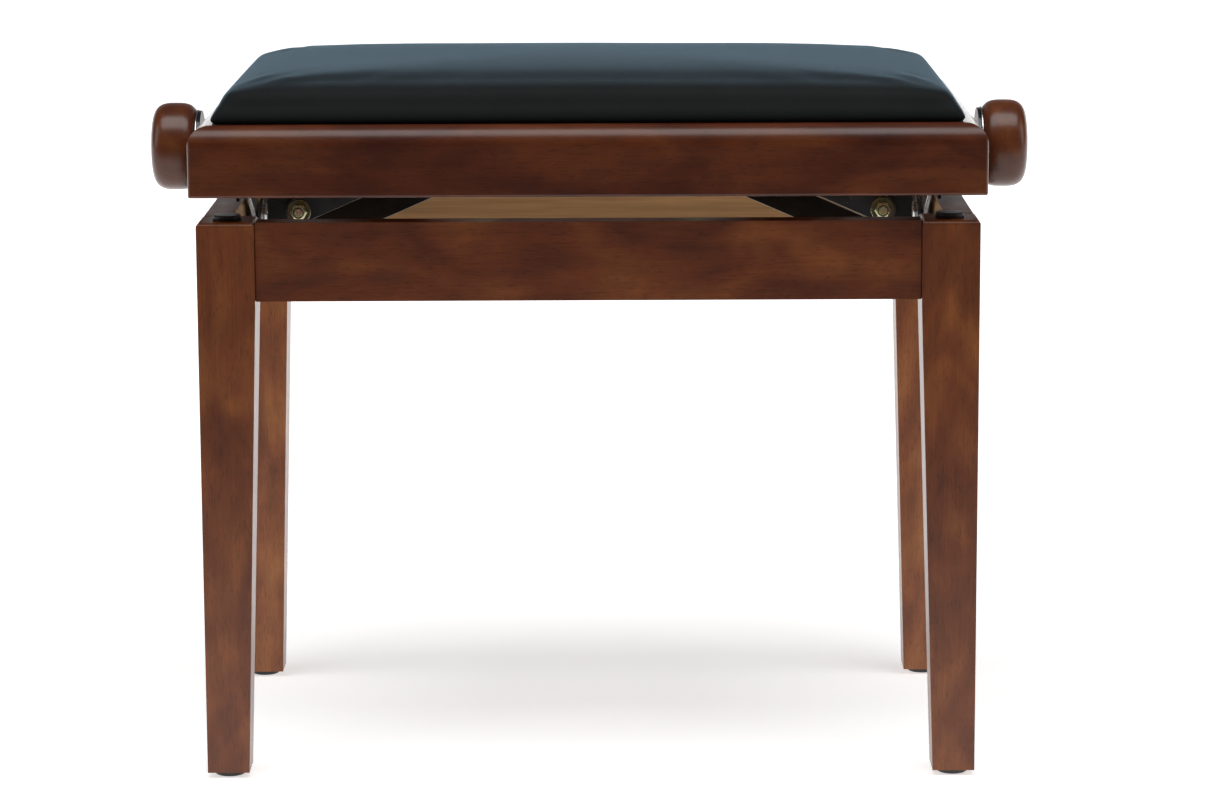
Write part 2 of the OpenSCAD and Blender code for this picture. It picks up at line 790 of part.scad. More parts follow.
module foam_pad() { color(FOAM) cushion_form(cover_t + foam_gap); }

module cushion_cover() {
    color(VELOUR) difference() {
        cushion_form(0);
        translate([0, 0, -eps]) cushion_form(cover_t);
    }
}

module seat_bracket() {
    color(BLACK_STEEL) difference() {
        union() {
            translate([-seat_plate_x, -bracket_l / 2, seat_bracket_z])
                cube([plate_t, bracket_l, board_z - seat_bracket_z]);
            translate([-seat_plate_x, -bracket_l / 2, board_z - plate_t])
                cube([bracket_flange, bracket_l, plate_t]);
        }
        slot_x(slide_pin_r + loose, slide_y_low - slot_end, slide_y_high + slot_end, scissor_high_z,
            -seat_plate_x - cut, -seat_plate_x + plate_t + cut);
        rod_x(pin_r + fit, -seat_plate_x - cut, -seat_plate_x + plate_t + cut, scissor_y, scissor_high_z);
        rod_x(bush_r, -seat_plate_x - cut, -seat_plate_x + plate_t + cut, 0, spindle_z);
        for (y = bracket_screw_spots) translate([-flange_screw_x, y, board_z - plate_t - cut])
            cylinder(r = screw_r + fit, h = plate_t + 2 * cut);
    }
}

module seat_bracket_left() { seat_bracket(); }
module seat_bracket_right() { mirror_x() seat_bracket(); }

module seat_bracket_screws() {
    color(ZINC) both_x() for (y = bracket_screw_spots)
        translate([-flange_screw_x, y, board_z - plate_t]) {
            cylinder(r = screw_r, h = plate_t + board_t - screw_tip);
            translate([0, 0, -screw_head_h]) cylinder(r = screw_head_r, h = screw_head_h);
        }
}

module scissor_seat_pins() {
    color(STEEL) both_x()
        rivet_x(pin_r, -seat_plate_x + glue_gap, -seat_plate_x + plate_t, -inner_x - bar_t - loose,
            -inner_x + loose, scissor_y, scissor_high_z);
}

module spindle_bushes() {
    color(STEEL) both_x() difference() {
        union() {
            rod_x(bush_r, -seat_w / 2 - eps, -seat_in_x, 0, spindle_z);
            rod_x(bush_flange_r, -seat_w / 2 - bush_flange_t, -seat_w / 2, 0, spindle_z);
        }
        rod_x(journal_r + fit, -seat_w / 2 - bush_flange_t - cut, -seat_in_x + cut, 0, spindle_z);
    }
}

module thrust_washers() {
    color(ZINC) both_x() difference() {
        rod_x(bush_r, -seat_in_x, -journal_x - loose, 0, spindle_z);
        rod_x(journal_r + fit, -seat_in_x - cut, -journal_x + cut, 0, spindle_z);
    }
}

leg_front_left();
leg_front_right();
leg_rear_left();
leg_rear_right();
base_rail_front();
base_rail_rear();
base_rail_left();
base_rail_right();
glue_blocks();
foot_glides();
glide_nails();
rest_bumpers();
scissor_plate_left();
scissor_plate_right();
scissor_plate_screws();
strut_brackets();
strut_bracket_screws();
strut_pivot_bolts();
strut_pivot_nuts();
strut_pivot_washers();
scissor_base_pins();
scissor_outer_left();
scissor_outer_pins_left();
scissor_inner_left();
scissor_inner_pin_left();
scissor_outer_right();
scissor_outer_pins_right();
scissor_inner_right();
scissor_inner_pin_right();
strut_front_left();
strut_rear_left();
strut_tie_left();
strut_front_right();
strut_rear_right();
strut_tie_right();
nut_bar_left();
nut_bar_clips_left();
nut_bar_right();
nut_bar_clips_right();
spindle();
knob_left();
knob_right();
knob_ferrules();
knob_collars();
knob_set_screws();
seat_rail_front();
seat_rail_rear();
seat_rail_left();
seat_rail_right();
seat_corner_blocks();
seat_board();
seat_board_screws();
foam_pad();
cushion_cover();
seat_bracket_left();
seat_bracket_right();
seat_bracket_screws();
scissor_seat_pins();
spindle_bushes();
thrust_washers();
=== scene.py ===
import math

import bmesh
import bpy
from mathutils import Matrix, Vector, noise
from mathutils.bvhtree import BVHTree


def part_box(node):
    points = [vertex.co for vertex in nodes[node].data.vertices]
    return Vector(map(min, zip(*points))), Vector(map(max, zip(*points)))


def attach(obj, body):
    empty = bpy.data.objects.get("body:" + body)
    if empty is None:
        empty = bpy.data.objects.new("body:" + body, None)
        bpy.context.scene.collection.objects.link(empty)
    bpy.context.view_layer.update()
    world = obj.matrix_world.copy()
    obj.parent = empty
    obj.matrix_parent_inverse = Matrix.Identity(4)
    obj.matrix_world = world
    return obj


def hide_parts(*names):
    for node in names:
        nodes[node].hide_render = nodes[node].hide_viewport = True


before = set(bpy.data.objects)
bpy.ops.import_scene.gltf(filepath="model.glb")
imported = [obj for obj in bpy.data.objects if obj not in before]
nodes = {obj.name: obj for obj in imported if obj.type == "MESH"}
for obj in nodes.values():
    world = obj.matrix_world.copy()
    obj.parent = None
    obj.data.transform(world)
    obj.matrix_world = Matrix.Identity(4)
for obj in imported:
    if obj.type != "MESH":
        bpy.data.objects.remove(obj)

MM = 0.001      # lengths are in metres
X, Y, Z = 0, 1, 2
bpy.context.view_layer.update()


# ---- Node helpers ----

class Shader:
    """A small builder for one procedural material."""

    def __init__(self, name):
        self.material = bpy.data.materials.new(name)
        self.material.use_nodes = True
        self.tree = self.material.node_tree
        self.bsdf = self.tree.nodes["Principled BSDF"]
        place = self.add("ShaderNodeTexCoord")
        self.coords = place.outputs["Object"]
        self.normals = place.outputs["Normal"]

    def add(self, kind, **settings):
        node = self.tree.nodes.new(kind)
        for key, value in settings.items():
            setattr(node, key, value)
        return node

    def link(self, source, target):
        self.tree.links.new(source, target)

    def mapped(self, scale, offset=(0, 0, 0)):
        """The object's own coordinates, scaled along each axis and shifted."""
        node = self.add("ShaderNodeMapping")
        node.inputs["Scale"].default_value = scale
        node.inputs["Location"].default_value = offset
        self.link(self.coords, node.inputs["Vector"])
        return node.outputs["Vector"]

    def noise(self, vector, scale, detail=2.0, roughness=0.5, distortion=0.0):
        node = self.add("ShaderNodeTexNoise")
        node.inputs["Scale"].default_value = scale
        node.inputs["Detail"].default_value = detail
        node.inputs["Roughness"].default_value = roughness
        node.inputs["Distortion"].default_value = distortion
        self.link(vector, node.inputs["Vector"])
        return node.outputs["Fac"]

    def ramp(self, factor, stops):
        """Stops are (place, value) or (place, colour)."""
        node = self.add("ShaderNodeValToRGB")
        elements = node.color_ramp.elements
        while len(elements) < len(stops):
            elements.new(0.5)
        for element, (place, value) in zip(elements, stops):
            element.position = place
            element.color = (*value, 1) if hasattr(value, "__len__") else (value, value, value, 1)
        self.link(factor, node.inputs["Fac"])
        return node.outputs["Color"]

    def mix(self, factor, a, b, blend="MIX"):
        """Mixes two colours. The node takes them at inputs 6 and 7, and gives the result at output 2."""
        node = self.add("ShaderNodeMix", data_type="RGBA", blend_type=blend)
        for value, index in ((factor, 0), (a, 6), (b, 7)):
            socket = node.inputs[index]
            if isinstance(value, bpy.types.NodeSocket):
                self.link(value, socket)
            else:
                socket.default_value = (*value, 1) if hasattr(value, "__len__") else value
        return node.outputs[2]

    def math(self, operation, a, b=0.0):
        node = self.add("ShaderNodeMath", operation=operation)
        for value, index in ((a, 0), (b, 1)):
            if isinstance(value, bpy.types.NodeSocket):
                self.link(value, node.inputs[index])
            else:
                node.inputs[index].default_value = value
        return node.outputs[0]

    def part_of(self, vector, axis):
        """One component of a vector."""
        node = self.add("ShaderNodeSeparateXYZ")
        self.link(vector, node.inputs[0])
        return node.outputs[axis]

    def facing(self, axis):
        """1 on faces square to an axis, 0 on the others."""
        square = self.math("ABSOLUTE", self.part_of(self.normals, axis))
        return self.ramp(square, [(0.90, 0.0), (0.97, 1.0)])

    def beyond(self, axis, limit, sign, blur=0.3 * MM):
        """1 where the place along an axis passes a limit in the direction of sign, 0 before it."""
        distance = self.math("SUBTRACT", self.part_of(self.coords, axis), limit)
        return self.ramp(self.math("MULTIPLY", distance, sign / blur), [(0.0, 0.0), (1.0, 1.0)])

    def fade(self, axis, start, end):
        """0 at the start, a place along an axis, and 1 at the end, with a straight slope between."""
        return self.beyond(axis, start, math.copysign(1, end - start), abs(end - start))

    def bump(self, height, strength, distance, normal=None):
        node = self.add("ShaderNodeBump")
        node.inputs["Strength"].default_value = strength
        node.inputs["Distance"].default_value = distance
        self.link(height, node.inputs["Height"])
        if normal is not None:
            self.link(normal, node.inputs["Normal"])
        return node.outputs["Normal"]

    def set(self, **values):
        """Sets or links sockets of the surface, with underscores for the spaces in their names."""
        for key, value in values.items():
            socket = self.bsdf.inputs[key.replace("_", " ")]
            if isinstance(value, bpy.types.NodeSocket):
                self.link(value, socket)
            else:
                socket.default_value = value
        return self.material


# ---- Wood ----

WALNUT = {
    "dark": (0.062, 0.0140, 0.0050),
    "mid": (0.118, 0.0300, 0.0092),
    "light": (0.192, 0.0620, 0.0172),
}
PALE = {"dark": (0.30, 0.165, 0.075), "mid": (0.42, 0.255, 0.125), "light": (0.52, 0.34, 0.18)}
BARE = (0.39, 0.220, 0.098)     # the unstained inner faces of the rails
# How much lighter or darker than WALNUT each part took the stain; the rear legs' gain adds painted light to
# their stain, for the light from the floor and from behind
LEG_GAIN = (1.40, 1.42, 1.22)
# Painted light: the rear legs are drawn much lighter than the front ones, for the floor light and back light
# that fall on them
REAR_LEG_STAIN_AND_LIGHT_GAIN = (2.35, 2.85, 3.0)
SEAT_GAIN = (0.77, 0.64, 0.60)
RAIL_GAIN = (1.12, 1.03, 0.94)


def tinted(tones, gain):
    """The dark, mid and light tones times a gain: one number, or one each for red, green and blue."""
    gains = gain if isinstance(gain, tuple) else (gain,) * 3
    return [tuple(c * g for c, g in zip(tones[k], gains)) for k in ("dark", "mid", "light")]


def wood(name, grain, seed, tones, gain=1.0, rough=0.36, coat=0.45, bare=None, shaded_top=False):
    """Stained beech under lacquer: soft cloudy stain, faint fibres and short ray flecks.
    grain is the axis, 0 to 2, that the fibres run along. bare is the (axis, limit, sign) of a bare
    inner face. shaded_top takes most of the gloss off the faces that look up, as painted shade that keeps
    them dark as under the seat."""
    s = Shader(name)
    dark, mid, light = tinted(tones, gain)

    def along(length_scale, cross_scale):
        scale = [cross_scale] * 3
        scale[grain] = length_scale
        return tuple(scale)

    shift = (seed * 1.37, seed * 2.11, seed * 0.73)     # so that no two pieces share their figure
    cloud = s.noise(s.mapped(along(12, 27), shift), 1.0, 2, 0.5, 0.5)
    mottle = s.noise(s.mapped(along(38, 85), shift), 1.0, 3, 0.55, 0.4)
    bands = s.noise(s.mapped(along(5, 110), shift), 1.0, 3, 0.5, 0.3)
    fibres = s.noise(s.mapped(along(20, 700), shift), 1.0, 3, 0.6)
    flecks = s.noise(s.mapped(along(170, 1100), shift), 1.0, 1, 0.5)
    pores = s.noise(s.mapped(along(60, 1500), shift), 1.0, 1, 0.5)

    base = s.ramp(cloud, [(0.26, dark), (0.50, mid), (0.74, light)])
    for factor, stops in (
        (mottle, [(0.30, 0.86), (0.70, 1.12)]),
        (bands, [(0.32, 0.93), (0.68, 1.06)]),
        (fibres, [(0.30, 0.90), (0.70, 1.09)]),
        (flecks, [(0.28, 0.72), (0.42, 1.0)]),
        (pores, [(0.27, 0.72), (0.36, 1.0)]),
    ):
        base = s.mix(1.0, base, s.ramp(factor, stops), "MULTIPLY")
    if bare:
        plain = s.mix(1.0, BARE, s.ramp(bands, [(0.30, 0.78), (0.70, 1.20)]), "MULTIPLY")
        plain = s.mix(1.0, plain, s.ramp(fibres, [(0.30, 0.86), (0.70, 1.10)]), "MULTIPLY")
        open_face = s.beyond(*bare)
        base = s.mix(open_face, base, plain)
        coat = s.math("MULTIPLY", s.math("SUBTRACT", 1.0, open_face), coat)
    shine = 0.22
    if shaded_top:
        # Painted shade: the faces that look up lose most of their coat and specular, so they stay dark as in
        # the shadow under the seat
        gloss_under_painted_shade = s.math("SUBTRACT", 1.0, s.math("MULTIPLY", s.facing(Z), 0.9))
        coat = s.math("MULTIPLY", gloss_under_painted_shade, coat)
        shine = s.math("MULTIPLY", gloss_under_painted_shade, shine)

    gloss = s.ramp(mottle, [(0.2, rough + 0.05), (0.8, rough - 0.03)])
    fine = s.bump(fibres, 0.05, 0.0003)
    normal = s.bump(pores, 0.04, 0.0002, fine)
    return s.set(Base_Color=base, Roughness=gloss, Normal=normal, Specular_IOR_Level=shine,
                 Coat_Weight=coat, Coat_Roughness=rough - 0.11)


# ---- Metals, rubber, plastic ----

def black_paint(name, worn=None):
    """Semi-gloss enamel over steel, with a faint orange peel and bare metal at a few rubs.
    worn is the axis a flat bar's faces are square to: its sheared edges show through thin paint."""
    s = Shader(name)
    peel = s.noise(s.coords, 900, 2, 0.5)
    dust = s.noise(s.coords, 60, 4, 0.6)
    rub = s.ramp(s.noise(s.coords, 210, 5, 0.7), [(0.70, 0.0), (0.76, 1.0)])
    if worn is not None:
        edges = s.math("SUBTRACT", 1.0, s.facing(worn))
        rub = s.math("MAXIMUM", rub, s.math("MULTIPLY", edges, s.ramp(dust, [(0.3, 0.35), (0.7, 0.85)])))
    colour = s.mix(rub, s.ramp(dust, [(0.3, (0.010, 0.010, 0.011)), (0.7, (0.020, 0.020, 0.021))]),
                   (0.42, 0.41, 0.40))
    return s.set(Base_Color=colour, Roughness=s.ramp(dust, [(0.3, 0.30), (0.7, 0.42)]),
                 Metallic=s.math("MULTIPLY", rub, 0.8), Normal=s.bump(peel, 0.06, 0.0002),
                 Specular_IOR_Level=0.28)


SILVER_ZINC = [(0.52, 0.53, 0.55), (0.66, 0.67, 0.69), (0.78, 0.79, 0.80)]
YELLOW_ZINC = [
    (0.70, 0.52, 0.20), (0.74, 0.66, 0.36), (0.55, 0.66, 0.42), (0.74, 0.50, 0.40), (0.80, 0.72, 0.46),
]


def spread(tints):
    """Ramp stops that spread tints over the middle half of a noise."""
    return [(0.25 + 0.5 * i / (len(tints) - 1), tint) for i, tint in enumerate(tints)]


def plated(name, tints, rough, blotch=70, dark_reflection_axis=None):
    """Zinc-plated steel: fine spangle, slow colour drift and small scuffs.
    dull is the axis that flat faces are square to: their colour is darkened there as a painted reflection of
    the dark space they face, and the edges stay bright."""
    s = Shader(name)
    drift = s.noise(s.coords, blotch, 3, 0.55, 0.6)
    spangle = s.noise(s.coords, 1500, 2, 0.6)
    scuffs = s.noise(s.mapped((60, 900, 900)), 1.0, 3, 0.6)
    gloss = s.ramp(spangle, [(0.3, rough - 0.05), (0.7, rough + 0.09)])
    colour = s.ramp(drift, spread(tints))
    if dark_reflection_axis is not None:
        # Painted reflection: faces square to the axis are drawn darker, for the dark space they mirror
        colour = s.mix(s.facing(dark_reflection_axis), colour, s.mix(1.0, colour, (0.30, 0.30, 0.31), "MULTIPLY"))
    return s.set(Base_Color=colour, Roughness=gloss, Metallic=1.0, Normal=s.bump(scuffs, 0.05, 0.0001))


def lock_nuts(name):
    """Yellow zinc with a dark nylon ring round the bolt's end."""
    s = Shader(name)
    low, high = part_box("strut_pivot_nuts")
    across_flats = high.z - low.z
    corner_radius = across_flats / 2 / math.cos(math.pi / 6)
    centre_x = high.x - corner_radius
    dx = s.math("SUBTRACT", s.math("ABSOLUTE", s.part_of(s.coords, X)), centre_x)
    dz = s.math("SUBTRACT", s.part_of(s.coords, Z), (low.z + high.z) / 2)
    radius = s.math("SQRT", s.math("ADD", s.math("MULTIPLY", dx, dx), s.math("MULTIPLY", dz, dz)))
    share = s.math("DIVIDE", radius, across_flats / 2)
    ring = s.math("MULTIPLY", s.facing(Y), s.ramp(share, [(0.70, 1.0), (0.76, 0.0)]))
    tarnish = s.noise(s.coords, 230, 3, 0.55, 0.6)
    colour = s.mix(ring, s.ramp(tarnish, spread(YELLOW_ZINC)), (0.020, 0.014, 0.012))
    return s.set(Base_Color=colour, Metallic=s.math("SUBTRACT", 1.0, ring),
                 Roughness=s.ramp(tarnish, [(0.3, 0.18), (0.7, 0.28)]))


def rubber(name):
    """Black rubber with a fine grit and a little dust."""
    s = Shader(name)
    grit = s.noise(s.coords, 1400, 3, 0.6)
    dust = s.noise(s.coords, 45, 4, 0.6)
    return s.set(Base_Color=s.ramp(dust, [(0.3, (0.020, 0.020, 0.021)), (0.75, (0.046, 0.045, 0.044))]),
                 Roughness=s.ramp(grit, [(0.3, 0.30), (0.7, 0.46)]), Normal=s.bump(grit, 0.08, 0.0002))


def black_plastic(name):
    """Glossy moulded plastic with a faint grain."""
    s = Shader(name)
    grain = s.noise(s.coords, 700, 2, 0.5)
    return s.set(Base_Color=s.ramp(grain, [(0.3, (0.008, 0.008, 0.009)), (0.7, (0.014, 0.014, 0.015))]),
                 Roughness=s.ramp(grain, [(0.3, 0.18), (0.7, 0.26)]), Normal=s.bump(grain, 0.03, 0.0002))


def foam(name):
    """Open-cell foam: pale walls round cells drawn darker as painted shade in their hollows."""
    s = Shader(name)
    cells = s.add("ShaderNodeTexVoronoi", feature="DISTANCE_TO_EDGE")
    cells.inputs["Scale"].default_value = 900
    s.link(s.coords, cells.inputs["Vector"])
    walls = cells.outputs["Distance"]
    # Painted shade: the colour darkens away from the cell walls, into the hollows
    return s.set(Base_Color=s.ramp(walls, [(0.0, (0.62, 0.55, 0.36)), (0.25, (0.44, 0.38, 0.23))]),
                 Roughness=0.9, Normal=s.bump(walls, 0.5, 0.0006))


# ---- Velour ----

def velour(name):
    """Short-pile fabric: near black face on and slate at a glancing angle, with brushed patches."""
    s = Shader(name)
    pile = s.noise(s.coords, 2600, 2, 0.65)
    warp = s.noise(s.mapped((260, 2300, 2300)), 1.0, 1, 0.5)
    brushed = s.noise(s.coords, 11, 3, 0.55, 0.7)
    lint = s.noise(s.coords, 640, 2, 0.5)
    base = s.ramp(brushed, [(0.30, (0.0048, 0.0056, 0.0057)), (0.70, (0.0078, 0.0088, 0.0089))])
    base = s.mix(1.0, base, s.ramp(pile, [(0.30, 0.70), (0.70, 1.30)]), "MULTIPLY")
    base = s.mix(s.ramp(lint, [(0.74, 0.0), (0.80, 0.30)]), base, (0.040, 0.047, 0.052))
    height = s.math("ADD", pile, s.math("MULTIPLY", warp, 0.5))
    return s.set(Base_Color=base, Roughness=s.ramp(pile, [(0.3, 0.62), (0.7, 0.76)]),
                 Normal=s.bump(height, 0.35, 0.0004), Specular_IOR_Level=0.15,
                 Sheen_Weight=1.0, Sheen_Roughness=0.27, Sheen_Tint=(0.50, 0.76, 0.96, 1))


# ---- CAD nodes: softened edges and materials ----

def soften(node, width, segments=3):
    """Rounds the machined edges of a CAD node without touching its own mesh."""
    weld = node.modifiers.new("weld", "WELD")
    weld.merge_threshold = 0.01 * MM
    bevel = node.modifiers.new("bevel", "BEVEL")
    bevel.width = width
    bevel.segments = segments
    bevel.limit_method = "ANGLE"
    bevel.angle_limit = math.radians(32)
    bevel.harden_normals = True
    bevel.miter_outer = "MITER_ARC"


def paint(names, material, edge=None, segments=3):
    """Gives CAD nodes a material and, where edge is a width, rounded edges."""
    for name in names:
        node = nodes[name]
        if node.data.materials:
            for index in range(len(node.data.materials)):
                node.data.materials[index] = material
        else:
            node.data.materials.append(material)
        if edge:
            soften(node, edge, segments)


def paint_wood():
    """Stained legs, rails and knobs, and the pale wood inside them."""
    for i, (name, gain) in enumerate([
        ("leg_front_left", LEG_GAIN), ("leg_front_right", LEG_GAIN),
        # the rear legs' gain holds painted light as well as stain
        ("leg_rear_left", REAR_LEG_STAIN_AND_LIGHT_GAIN), ("leg_rear_right", REAR_LEG_STAIN_AND_LIGHT_GAIN),
    ]):
        # the leg tops get painted shade: their gloss is taken off
        paint([name], wood(f"walnut_{name}", Z, 3.1 + i * 7.7, WALNUT, gain, shaded_top=True), 1.2 * MM)
    for i, (name, grain) in enumerate([
        ("seat_rail_front", X), ("seat_rail_rear", X), ("seat_rail_left", Y), ("seat_rail_right", Y),
    ]):
        rough, coat = (0.30, 1.0) if grain == Y else (0.36, 0.38)   # the end rails are glossier
        paint([name], wood(f"walnut_{name}", grain, 41.3 + i * 5.3, WALNUT, SEAT_GAIN, rough, coat))
    for i, (name, grain, across, sign) in enumerate([
        ("base_rail_front", X, Y, 1), ("base_rail_rear", X, Y, -1),
        ("base_rail_left", Y, X, 1), ("base_rail_right", Y, X, -1),
    ]):
        low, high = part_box(name)
        inner = (high if sign > 0 else low)[across]
        bare = (across, inner - sign * 0.5 * MM, sign)
        # the rail tops get painted shade: their gloss is taken off
        material = wood(f"walnut_{name}", grain, 77.9 + i * 4.1, WALNUT, RAIL_GAIN, bare=bare, shaded_top=True)
        paint([name], material, 0.8 * MM)
    for i, name in enumerate(["knob_left", "knob_right"]):
        paint([name], wood(f"walnut_{name}", Y, 13.7 + i * 9.1, WALNUT, rough=0.33))
    paint(["glue_blocks"], wood("beech_base_blocks", Z, 5.0, PALE, coat=0.0, rough=0.55), 0.8 * MM)
    paint(["seat_corner_blocks"], wood("beech_seat_blocks", X, 15.0, PALE, coat=0.0, rough=0.55), 0.8 * MM)
    paint(["seat_board"], wood("plywood", X, 25.0, PALE, gain=0.9, rough=0.6, coat=0.0), 0.5 * MM)


def named(*starts):
    """The names of the CAD nodes that start in one of these ways."""
    return [name for name in nodes if name.startswith(starts)]


def paint_hardware():
    """Plated and painted steel, rubber and plastic."""
    bright = plated("bright_zinc", SILVER_ZINC, rough=0.22)
    # The arms' and the washers' flat faces carry a painted dark reflection
    arms = plated("bright_zinc_arms", SILVER_ZINC, rough=0.24, dark_reflection_axis=X)
    yellow = plated("yellow_zinc", YELLOW_ZINC, rough=0.20, blotch=150)
    washers = plated("yellow_zinc_washers", YELLOW_ZINC, rough=0.16, blotch=150, dark_reflection_axis=Y)
    enamel = black_paint("black_enamel")
    sheared = black_paint("black_enamel_bars", worn=Y)
    pins = [name for name in named("scissor_") if "pin" in name]
    bars = [name for name in named("scissor_outer", "scissor_inner") if name not in pins]
    paint(bars, arms, 0.35 * MM, 2)
    paint(pins, bright, 0.35 * MM, 2)
    paint(["spindle", "knob_ferrules", "spindle_bushes", "thrust_washers", "glide_nails",
           "knob_set_screws", "nut_bar_clips_left", "nut_bar_clips_right"], bright, 0.25 * MM, 2)
    paint(["strut_pivot_nuts"], lock_nuts("lock_nuts"), 0.9 * MM, 3)
    paint(["strut_pivot_washers"], washers, 0.3 * MM, 2)
    paint(["strut_pivot_bolts", "scissor_plate_screws", "strut_bracket_screws", "seat_bracket_screws",
           "seat_board_screws", "nut_bar_left", "nut_bar_right"], yellow, 0.4 * MM, 2)
    paint(["scissor_plate_left", "scissor_plate_right", "strut_brackets", "seat_bracket_left",
           "seat_bracket_right", "strut_tie_left", "strut_tie_right"], enamel, 0.35 * MM, 2)
    paint(named("strut_front", "strut_rear"), sheared, 0.35 * MM, 2)
    paint(["foot_glides", "rest_bumpers"], rubber("black_rubber"), 0.5 * MM, 2)
    paint(["knob_collars"], black_plastic("black_plastic"), 0.5 * MM, 2)


# ---- Cushion ----

LEAN = 0.25             # how far the front leans in for each unit of height
BULGE = 0.0024          # how far the cover swells out over the seat frame
BULGE_RISE = 0.005      # and the height it does so in
SIDE_SPREAD = 1.35      # how many times further in the left and right sides reach
SHOULDER = 0.0085       # height of the rounded shoulder above the leaning side
SHOULDER_REACH = 2.4    # how many times wider than high the shoulder is
CORNER_FOOT = 0.004     # plan radius of the corners at the foot
CORNER_TOP = 0.058      # and where the shoulder meets the top
CROWN = 0.0065          # extra height at the middle of the top
OVERFILL = -0.0014      # how far the crown rises above the CAD cover before it swells
SAG = 0.0036            # the filling has settled this much at the right end
FOOT = 0.007            # height over which the cover keeps to its frame
SQUEEZE = 0.0003        # the cover fills this much of the gap round the board
FOAM_SHRINK = 0.0025    # the foam is drawn this much smaller, so that it stays under its cover
SIDE_STEPS = 12         # rings up the leaning side, and again round the shoulder
CROWN_STEPS = 12        # rings over the top
CROWN_POWER = 2.2       # how suddenly the crown falls off towards the shoulder
VOXEL = 0.005           # the cover is remeshed in cells of this size
PRESSURE = 4.0          # of the foam under the cover
STIFFNESS = 15          # of the cover, stretched or pushed together
FRAMES = 20             # how long the pressure acts
SWELL_CAP = 0.0022      # the furthest that any of the cover may move
UNEVENNESS = 0.0005     # height of the slow waves over the cover
WAVES = Vector((9, 9, 14))      # about this many of them to the metre along each axis


def side_profile(height, steps):
    """(inset, rise) up the cushion's side: a leaning flat, then a wide rounded shoulder."""
    flat = height - SHOULDER
    points = []
    for i in range(steps):
        rise = flat * i / steps
        swell = 1 - max(0, 1 - rise / BULGE_RISE) ** 2
        points.append((LEAN * rise - BULGE * swell, rise))
    for i in range(steps + 1):
        angle = math.pi / 2 * i / steps
        points.append((LEAN * flat - BULGE + SHOULDER * SHOULDER_REACH * (1 - math.cos(angle)),
                       flat + SHOULDER * math.sin(angle)))
    return points


def ring(half_x, half_y, radius, z, per_corner, per_x, per_y):
    """Points round a rectangle with round corners, counterclockwise from its front left corner."""
    radius = min(radius, half_x, half_y)
    points = []
    gloss_under_painted_shade = [
        ((-1, -1), (1, 0), per_x), ((1, -1), (0, 1), per_y),
        ((1, 1), (-1, 0), per_x), ((-1, 1), (0, -1), per_y),
    ]
    for (cx, cy), (dx, dy), count in gloss_under_painted_shade:
        centre = Vector((cx * (half_x - radius), cy * (half_y - radius)))
        start = math.atan2(cy, cx) - math.pi / 4
        spokes = [start + (math.pi / 2) * i / per_corner for i in range(per_corner + 1)]
        arc = [centre + radius * Vector((math.cos(a), math.sin(a))) for a in spokes]
        length = 2 * (half_x - radius) if dx else 2 * (half_y - radius)
        straight = [arc[-1] + Vector((dx, dy)) * (length * i / count) for i in range(1, count)]
        points += [(p.x, p.y, z) for p in arc + straight]
    return points


def crowned_pad(name, half_x, half_y, z0, z1):
    """A closed pad: leaning sides with round corners, a wide shoulder, a crowned top and a flat underside."""
    bm = bmesh.new()
    counts = (8, 60, 34)    # spans round a corner, along X and along Y
    side = side_profile(z1 - CROWN - z0, SIDE_STEPS)
    whole_inset = side[-1][0]
    outlines = []
    for inset, rise in side:
        radius = CORNER_FOOT + (CORNER_TOP - CORNER_FOOT) * max(0, inset) / whole_inset
        outlines.append(ring(half_x - inset * SIDE_SPREAD, half_y - inset, radius, z0 + rise, *counts))
    top_x = half_x - whole_inset * SIDE_SPREAD
    top_y = half_y - whole_inset
    for i in range(1, CROWN_STEPS):
        k = 1 - i / CROWN_STEPS
        z = z1 - CROWN * k ** CROWN_POWER
        outlines.append(ring(top_x * k, top_y * k, CORNER_TOP * k, z, *counts))
    loops = [[bm.verts.new(p) for p in outline] for outline in outlines]
    for a, b in zip(loops, loops[1:]):
        for i in range(len(a)):
            j = (i + 1) % len(a)
            bm.faces.new((a[i], a[j], b[j], b[i]))
    bm.faces.new(list(reversed(loops[0])))
    bm.faces.new(loops[-1])
    bmesh.ops.recalc_face_normals(bm, faces=bm.faces)
    mesh = bpy.data.meshes.new(name)
    bm.to_mesh(mesh)
    bm.free()
    pad = bpy.data.objects.new(name, mesh)
    bpy.context.scene.collection.objects.link(pad)
    return pad


def apply_modifiers(piece):
    """Makes a piece's modifiers part of its mesh."""
    bpy.context.view_layer.update()
    depsgraph = bpy.context.evaluated_depsgraph_get()
    mesh = bpy.data.meshes.new_from_object(piece.evaluated_get(depsgraph))
    piece.modifiers.clear()
    piece.data = mesh


